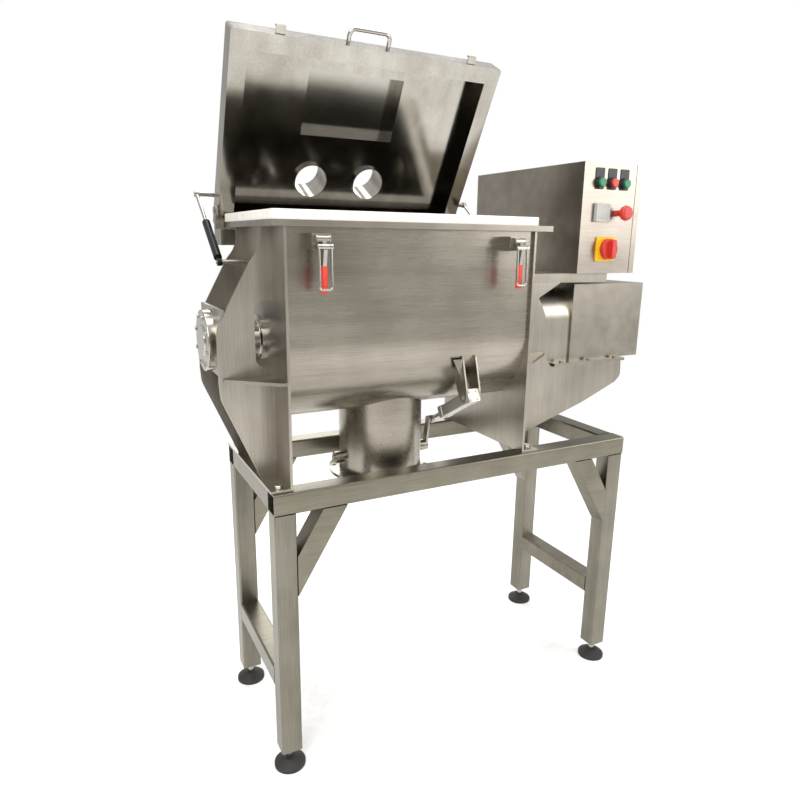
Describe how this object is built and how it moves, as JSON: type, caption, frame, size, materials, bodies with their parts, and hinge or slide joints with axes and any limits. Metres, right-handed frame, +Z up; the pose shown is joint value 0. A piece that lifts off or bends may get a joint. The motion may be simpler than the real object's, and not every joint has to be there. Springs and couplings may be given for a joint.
{
  "type": "ribbon blender",
  "caption": "Stainless ribbon blender: U trough with double ribbon agitator, hinged lid on gas springs, bottom valve spout, side drive and control box, on a tube stand.",
  "frame": {"origin": "middle of the bounding box on the floor", "axes": "+X along the shaft from the bearing end to the drive, +Y to the back, +Z up"},
  "size_m": [1.26, 0.6304, 1.7054],
  "materials": {
    "stainless_satin": "satin",
    "stainless_brushed": "brushed",
    "stainless_mirror": "polished",
    "seal_white": "satin",
    "rubber_black": "matte",
    "spring_black": "satin",
    "aluminium_anodised": "satin",
    "paint_grey": "satin",
    "plastic_red": "gloss",
    "plastic_green": "gloss",
    "plastic_black": "matte",
    "plastic_yellow": "satin",
    "plastic_grey": "matte"
  },
  "bodies": {
    "machine": {"stand_legs": "stainless_satin", "stand_rails": "stainless_satin", "stand_braces": "stainless_satin", "end_plate_left": "stainless_satin", "end_plate_right": "stainless_satin", "rim_flange": "stainless_satin", "left_gussets": "stainless_satin", "right_gussets": "stainless_satin", "corner_stiffeners": "stainless_satin", "hinge_brackets": "stainless_satin", "bearing_plate": "stainless_satin", "bearing_housing": "stainless_satin", "bearing_cap": "stainless_satin", "shaft_glands": "stainless_satin", "actuator_bracket": "stainless_satin", "drive_base_plate": "stainless_satin", "drive_cover": "stainless_satin", "neck_guard": "stainless_satin", "control_shelf": "stainless_satin", "enclosure_body": "stainless_satin", "latch_mounts": "stainless_satin", "trough_shell": "stainless_brushed", "discharge_spout": "stainless_brushed", "foot_stems": "stainless_mirror", "shaft_bearing": "stainless_mirror", "rim_seal": "seal_white", "foot_pads": "rubber_black", "inverter": "aluminium_anodised", "gear_reducer": "paint_grey", "drive_motor": "paint_grey", "button_bezels": "plastic_black", "switch_plate": "plastic_yellow", "timer": "plastic_grey"},
    "lid": {"lid_shell": "stainless_mirror", "lid_handle": "stainless_mirror"},
    "hatch": {"hatch_cover": "stainless_mirror"},
    "agitator": {"agitator_shaft": "stainless_mirror", "agitator_arms": "stainless_mirror", "outer_ribbons": "stainless_mirror", "inner_ribbons": "stainless_mirror"},
    "valve": {"valve_disc": "stainless_mirror", "valve_crank": "stainless_satin"},
    "actuator_barrel": {"actuator_cylinder": "aluminium_anodised"},
    "actuator_piston": {"actuator_rod": "stainless_mirror"},
    "left_spring_barrel": {"gas_spring_left_tube": "spring_black"},
    "left_spring_piston": {"gas_spring_left_rod": "stainless_mirror"},
    "right_spring_barrel": {"gas_spring_right_tube": "spring_black"},
    "right_spring_piston": {"gas_spring_right_rod": "stainless_mirror"},
    "left_latch_lever": {"latch_left_lever": "stainless_mirror", "latch_left_grip": "plastic_red"},
    "left_latch_loop": {"latch_left_loop": "stainless_mirror"},
    "right_latch_lever": {"latch_right_lever": "stainless_mirror", "latch_right_grip": "plastic_red"},
    "right_latch_loop": {"latch_right_loop": "stainless_mirror"},
    "start_push": {"start_button": "plastic_green"},
    "stop_push": {"stop_button": "plastic_red"},
    "jog_push": {"jog_button": "plastic_green"},
    "emergency_push": {"emergency_stop_button": "plastic_red"},
    "switch": {"switch_knob": "plastic_red"},
    "door": {"enclosure_door": "stainless_satin"}
  },
  "joints": [
    {"name": "lid_hinge", "type": "hinge", "parent": "machine", "child": "lid", "pos_m": [-0.178, 0.14125, 1.308], "axis": [1, 0, 0], "range_deg": [0, 60.5]},
    {"name": "hatch_hinge", "type": "hinge", "parent": "lid", "child": "hatch", "pos_m": [-0.212, 0.11608, 1.49138], "axis": [-1, 0, 0], "range_deg": [0, 100]},
    {"name": "agitator_spin", "type": "hinge", "parent": "machine", "child": "agitator", "pos_m": [-0.178, -0.06575, 1.02], "axis": [1, 0, 0], "continuous": true},
    {"name": "valve_turn", "type": "hinge", "parent": "machine", "child": "valve", "pos_m": [-0.185, -0.06575, 0.7], "axis": [-1, 0, 0], "range_deg": [0, 75]},
    {"name": "actuator_swing", "type": "hinge", "parent": "machine", "child": "actuator_barrel", "pos_m": [-0.037, -0.26375, 0.876], "axis": [1, 0, 0], "range_deg": [-0.2, 0.79058]},
    {"name": "actuator_stroke", "type": "slide", "parent": "actuator_barrel", "child": "actuator_piston", "axis": [0, 0.876, -0.4822], "range_m": [-0.0005, 0.09299]},
    {"name": "left_spring_swing", "type": "hinge", "parent": "machine", "child": "left_spring_barrel", "pos_m": [-0.577, -0.05675, 1.19], "axis": [1, 0, 0], "range_deg": [-0.2, 4.92]},
    {"name": "left_spring_stroke", "type": "slide", "parent": "left_spring_barrel", "child": "left_spring_piston", "axis": [0, 0.8086, 0.5884], "range_m": [-0.03529, 0.0005]},
    {"name": "right_spring_swing", "type": "hinge", "parent": "machine", "child": "right_spring_barrel", "pos_m": [0.194, -0.05675, 1.19], "axis": [1, 0, 0], "range_deg": [-0.2, 4.92]},
    {"name": "right_spring_stroke", "type": "slide", "parent": "right_spring_barrel", "child": "right_spring_piston", "axis": [0, 0.8086, 0.5884], "range_m": [-0.03529, 0.0005]},
    {"name": "left_latch_lift", "type": "hinge", "parent": "machine", "child": "left_latch_lever", "pos_m": [-0.425, -0.29675, 1.243], "axis": [-1, 0, 0], "range_deg": [0, 100]},
    {"name": "left_loop_swing", "type": "hinge", "parent": "left_latch_lever", "child": "left_latch_loop", "pos_m": [-0.425, -0.30875, 1.228], "axis": [1, 0, 0], "range_deg": [-175, 0]},
    {"name": "right_latch_lift", "type": "hinge", "parent": "machine", "child": "right_latch_lever", "pos_m": [0.059, -0.29675, 1.243], "axis": [-1, 0, 0], "range_deg": [0, 100]},
    {"name": "right_loop_swing", "type": "hinge", "parent": "right_latch_lever", "child": "right_latch_loop", "pos_m": [0.059, -0.30875, 1.228], "axis": [1, 0, 0], "range_deg": [-175, 0]},
    {"name": "start_press", "type": "slide", "parent": "machine", "child": "start_push", "axis": [0, 1, 0], "range_m": [0, 0.004], "stiffness_N_per_m": 400, "springref_m": -0.002},
    {"name": "stop_press", "type": "slide", "parent": "machine", "child": "stop_push", "axis": [0, 1, 0], "range_m": [0, 0.004], "stiffness_N_per_m": 400, "springref_m": -0.002},
    {"name": "jog_press", "type": "slide", "parent": "machine", "child": "jog_push", "axis": [0, 1, 0], "range_m": [0, 0.004], "stiffness_N_per_m": 400, "springref_m": -0.002},
    {"name": "emergency_press", "type": "slide", "parent": "machine", "child": "emergency_push", "axis": [0, 1, 0], "range_m": [0, 0.006], "stiffness_N_per_m": 800, "springref_m": -0.002},
    {"name": "switch_turn", "type": "hinge", "parent": "machine", "child": "switch", "pos_m": [0.432, -0.18575, 1.226], "axis": [0, -1, 0], "range_deg": [0, 90]},
    {"name": "door_swing", "type": "hinge", "parent": "machine", "child": "door", "pos_m": [0.538, 0.31025, 1.261], "axis": [0, 0, 1], "range_deg": [0, 120]}
  ],
  "couplings": [
    {"joint": "left_spring_swing", "follows": "lid_hinge", "ratio": 0.077955},
    {"joint": "right_spring_swing", "follows": "lid_hinge", "ratio": 0.077955},
    {"joint": "left_spring_stroke", "follows": "lid_hinge", "m_per_rad": -0.032947},
    {"joint": "right_spring_stroke", "follows": "lid_hinge", "m_per_rad": -0.032947},
    {"joint": "actuator_swing", "follows": "valve_turn", "ratio": 0.007874},
    {"joint": "actuator_stroke", "follows": "valve_turn", "m_per_rad": 0.070661}
  ]
}
